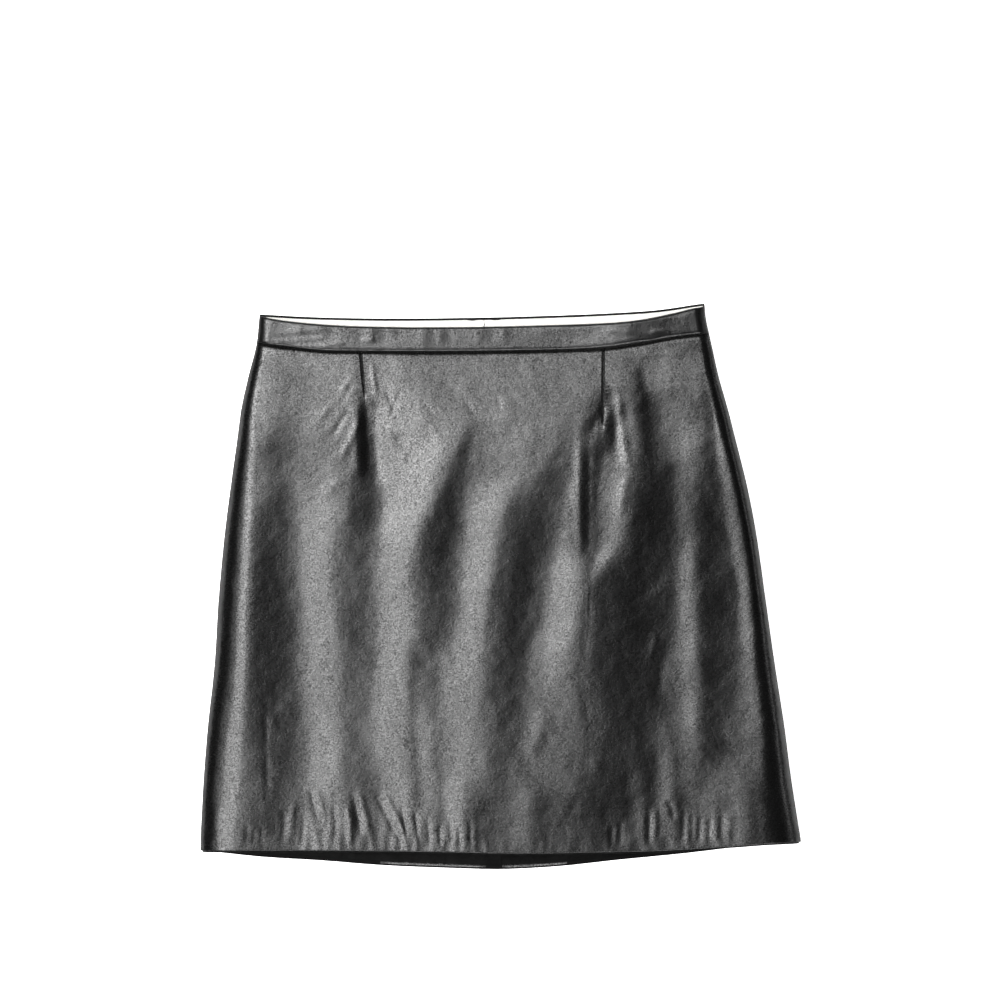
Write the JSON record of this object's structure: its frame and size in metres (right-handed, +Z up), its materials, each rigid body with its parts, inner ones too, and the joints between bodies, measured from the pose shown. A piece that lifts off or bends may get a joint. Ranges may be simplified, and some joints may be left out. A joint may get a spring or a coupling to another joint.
{
  "type": "leather mini skirt",
  "caption": "Black leather mini skirt laid flat: darted front, centre-seamed back with a concealed zip, narrow waistband with a pale facing, turned-up hem.",
  "frame": {"origin": "on the surface that the skirt lies on, under the middle of its outline", "axes": "+Z up from the surface, +Y towards the waist, +X to the right seen from above, across the front"},
  "size_m": [0.4932, 0.465, 0.026],
  "materials": {
    "leather": "glossy black smooth leather with a fine grain",
    "facing": "pale plain woven facing",
    "zip_tape": "black woven zip tape",
    "zip_metal": "black lacquered metal, satin"
  },
  "bodies": {
    "skirt": {"front_panel": "leather", "front_hem_turn_up": "leather", "waistband_front": "leather", "back_panel_left": "leather", "back_panel_right": "leather", "back_hem_turn_up_left": "leather", "back_hem_turn_up_right": "leather", "waistband_back_left": "leather", "waistband_back_right": "leather", "facing_front": "facing", "facing_back_left": "facing", "facing_back_right": "facing", "zip_tape_left": "zip_tape", "zip_tape_right": "zip_tape", "zip_slider": "zip_metal"},
    "pull": {"zip_pull": "zip_metal"}
  },
  "joints": [
    {"name": "pull_hinge", "type": "hinge", "parent": "skirt", "child": "pull", "pos_m": [-0.01313, 0.2055, 0.0019], "axis": [1, 0, 0], "range_deg": [0, 150]}
  ]
}
